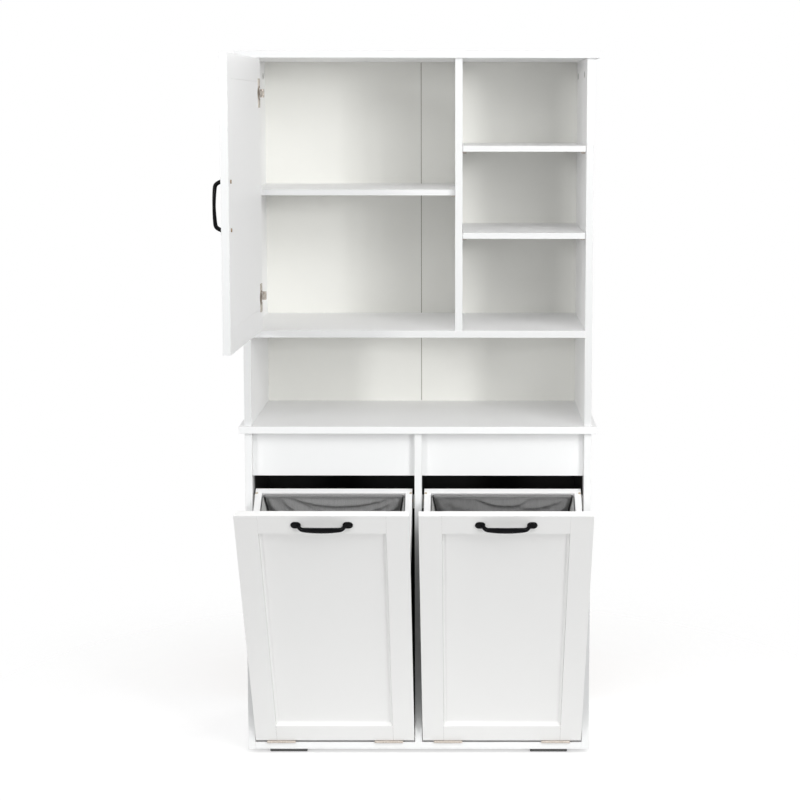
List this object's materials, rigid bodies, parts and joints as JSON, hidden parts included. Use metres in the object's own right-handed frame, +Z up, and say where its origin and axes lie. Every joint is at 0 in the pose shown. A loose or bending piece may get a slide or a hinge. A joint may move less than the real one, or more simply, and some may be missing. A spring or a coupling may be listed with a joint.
{
  "type": "laundry hamper cabinet",
  "caption": "White laminate laundry cabinet: tilt-out hampers with grey fabric bags below a countertop, and a shelved hutch above with an inset framed door.",
  "frame": {"origin": "on the floor, under the middle of the carcass footprint", "axes": "+Z up, -Y to the front where the door and the hampers open, +X to the right as seen from the front"},
  "size_m": [0.8, 0.8393, 1.587],
  "materials": {
    "white_laminate": "satin white laminate on particle board",
    "back_board": "white-faced hardboard",
    "handle_black": "satin black",
    "hinge_nickel": "nickel plate",
    "screw_steel": "zinc plate, yellow passivated",
    "pin_brass": "satin",
    "bag_fabric": "grey woven polyester",
    "foot_plastic": "matt",
    "stop_plastic": "matt"
  },
  "bodies": {
    "cabinet": {"base_left_side": "white_laminate", "base_right_side": "white_laminate", "base_floor_board": "white_laminate", "base_centre_divider": "white_laminate", "base_left_apron": "white_laminate", "base_right_apron": "white_laminate", "base_back_panel": "back_board", "countertop": "white_laminate", "feet": "foot_plastic", "hutch_left_side": "white_laminate", "hutch_right_side": "white_laminate", "hutch_top_board": "white_laminate", "hutch_divider": "white_laminate", "hutch_fixed_shelf": "white_laminate", "hutch_left_shelf": "white_laminate", "hutch_right_upper_shelf": "white_laminate", "hutch_right_lower_shelf": "white_laminate", "hutch_left_back_panel": "back_board", "hutch_right_back_panel": "back_board", "shelf_pins": "hinge_nickel", "door_hinge_arms": "hinge_nickel", "hamper_hinge_fixed_leaves": "hinge_nickel", "hamper_hinge_pins": "hinge_nickel", "hamper_stop_blocks": "stop_plastic"},
    "door": {"door_left_stile": "white_laminate", "door_right_stile": "white_laminate", "door_bottom_rail": "white_laminate", "door_top_rail": "white_laminate", "door_panel": "white_laminate", "door_handle": "handle_black", "door_handle_screws": "screw_steel", "door_hinge_cups": "hinge_nickel"},
    "door_hinge_links": {"door_hinge_links": "hinge_nickel"},
    "left_hamper": {"left_hamper_front_left_stile": "white_laminate", "left_hamper_front_right_stile": "white_laminate", "left_hamper_front_bottom_rail": "white_laminate", "left_hamper_front_top_rail": "white_laminate", "left_hamper_front_panel": "white_laminate", "left_hamper_handle": "handle_black", "left_hamper_handle_screws": "screw_steel", "left_hamper_left_frame_rail": "white_laminate", "left_hamper_right_frame_rail": "white_laminate", "left_hamper_back_frame_rail": "white_laminate", "left_hamper_stop_pins": "pin_brass", "left_hamper_bag": "bag_fabric", "left_hamper_hinge_leaves": "hinge_nickel"},
    "right_hamper": {"right_hamper_front_left_stile": "white_laminate", "right_hamper_front_right_stile": "white_laminate", "right_hamper_front_bottom_rail": "white_laminate", "right_hamper_front_top_rail": "white_laminate", "right_hamper_front_panel": "white_laminate", "right_hamper_handle": "handle_black", "right_hamper_handle_screws": "screw_steel", "right_hamper_left_frame_rail": "white_laminate", "right_hamper_right_frame_rail": "white_laminate", "right_hamper_back_frame_rail": "white_laminate", "right_hamper_stop_pins": "pin_brass", "right_hamper_bag": "bag_fabric", "right_hamper_hinge_leaves": "hinge_nickel"}
  },
  "joints": [
    {"name": "door_swing", "type": "hinge", "parent": "cabinet", "child": "door", "pos_m": [-0.36735, -0.1989, 1.271], "axis": [0, 0, 1], "range_deg": [0, 92.1]},
    {"name": "door_hinge_link_swing", "type": "hinge", "parent": "cabinet", "child": "door_hinge_links", "pos_m": [-0.34142, -0.1739, 1.271], "axis": [0, 0, 1], "range_deg": [0, 92.1]},
    {"name": "left_hamper_tilt", "type": "hinge", "parent": "cabinet", "child": "left_hamper", "pos_m": [-0.19, -0.1945, 0.0275], "axis": [-1, 0, 0], "range_deg": [0, 31.75]},
    {"name": "right_hamper_tilt", "type": "hinge", "parent": "cabinet", "child": "right_hamper", "pos_m": [0.19, -0.1945, 0.0275], "axis": [-1, 0, 0], "range_deg": [0, 31.75]}
  ],
  "couplings": [
    {"joint": "door_hinge_link_swing", "follows": "door_swing", "ratio": 1}
  ]
}
